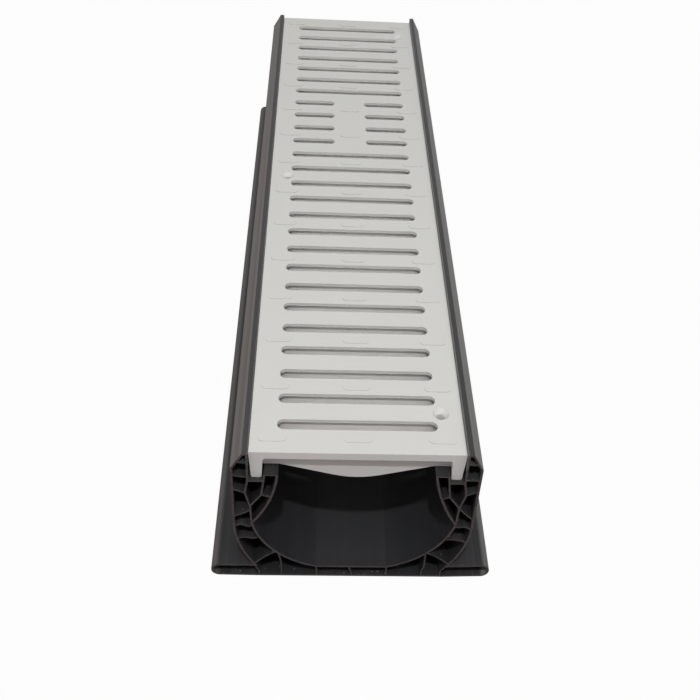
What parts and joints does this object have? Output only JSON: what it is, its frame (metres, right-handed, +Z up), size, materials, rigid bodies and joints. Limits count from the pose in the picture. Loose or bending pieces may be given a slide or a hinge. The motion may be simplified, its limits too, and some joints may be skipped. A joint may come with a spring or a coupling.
{
  "type": "channel drain grate",
  "caption": "Slotted plastic grate seated in a hollow-chamber drainage channel with foot flanges, for draining yards, garages and pool decks.",
  "frame": {"origin": "middle of the channel's underside, halfway along its length", "axes": "+X across the channel, +Y along it away from the pictured end, +Z up"},
  "size_m": [0.1473, 0.5, 0.0949],
  "materials": {
    "channel_plastic": "dark grey extruded PVC with fine lengthwise die lines, sawn ends",
    "grate_plastic": "off-white moulded plastic with a fine satin grain"
  },
  "bodies": {
    "root": {"channel_body": "channel_plastic", "grate": "grate_plastic"}
  },
  "joints": []
}
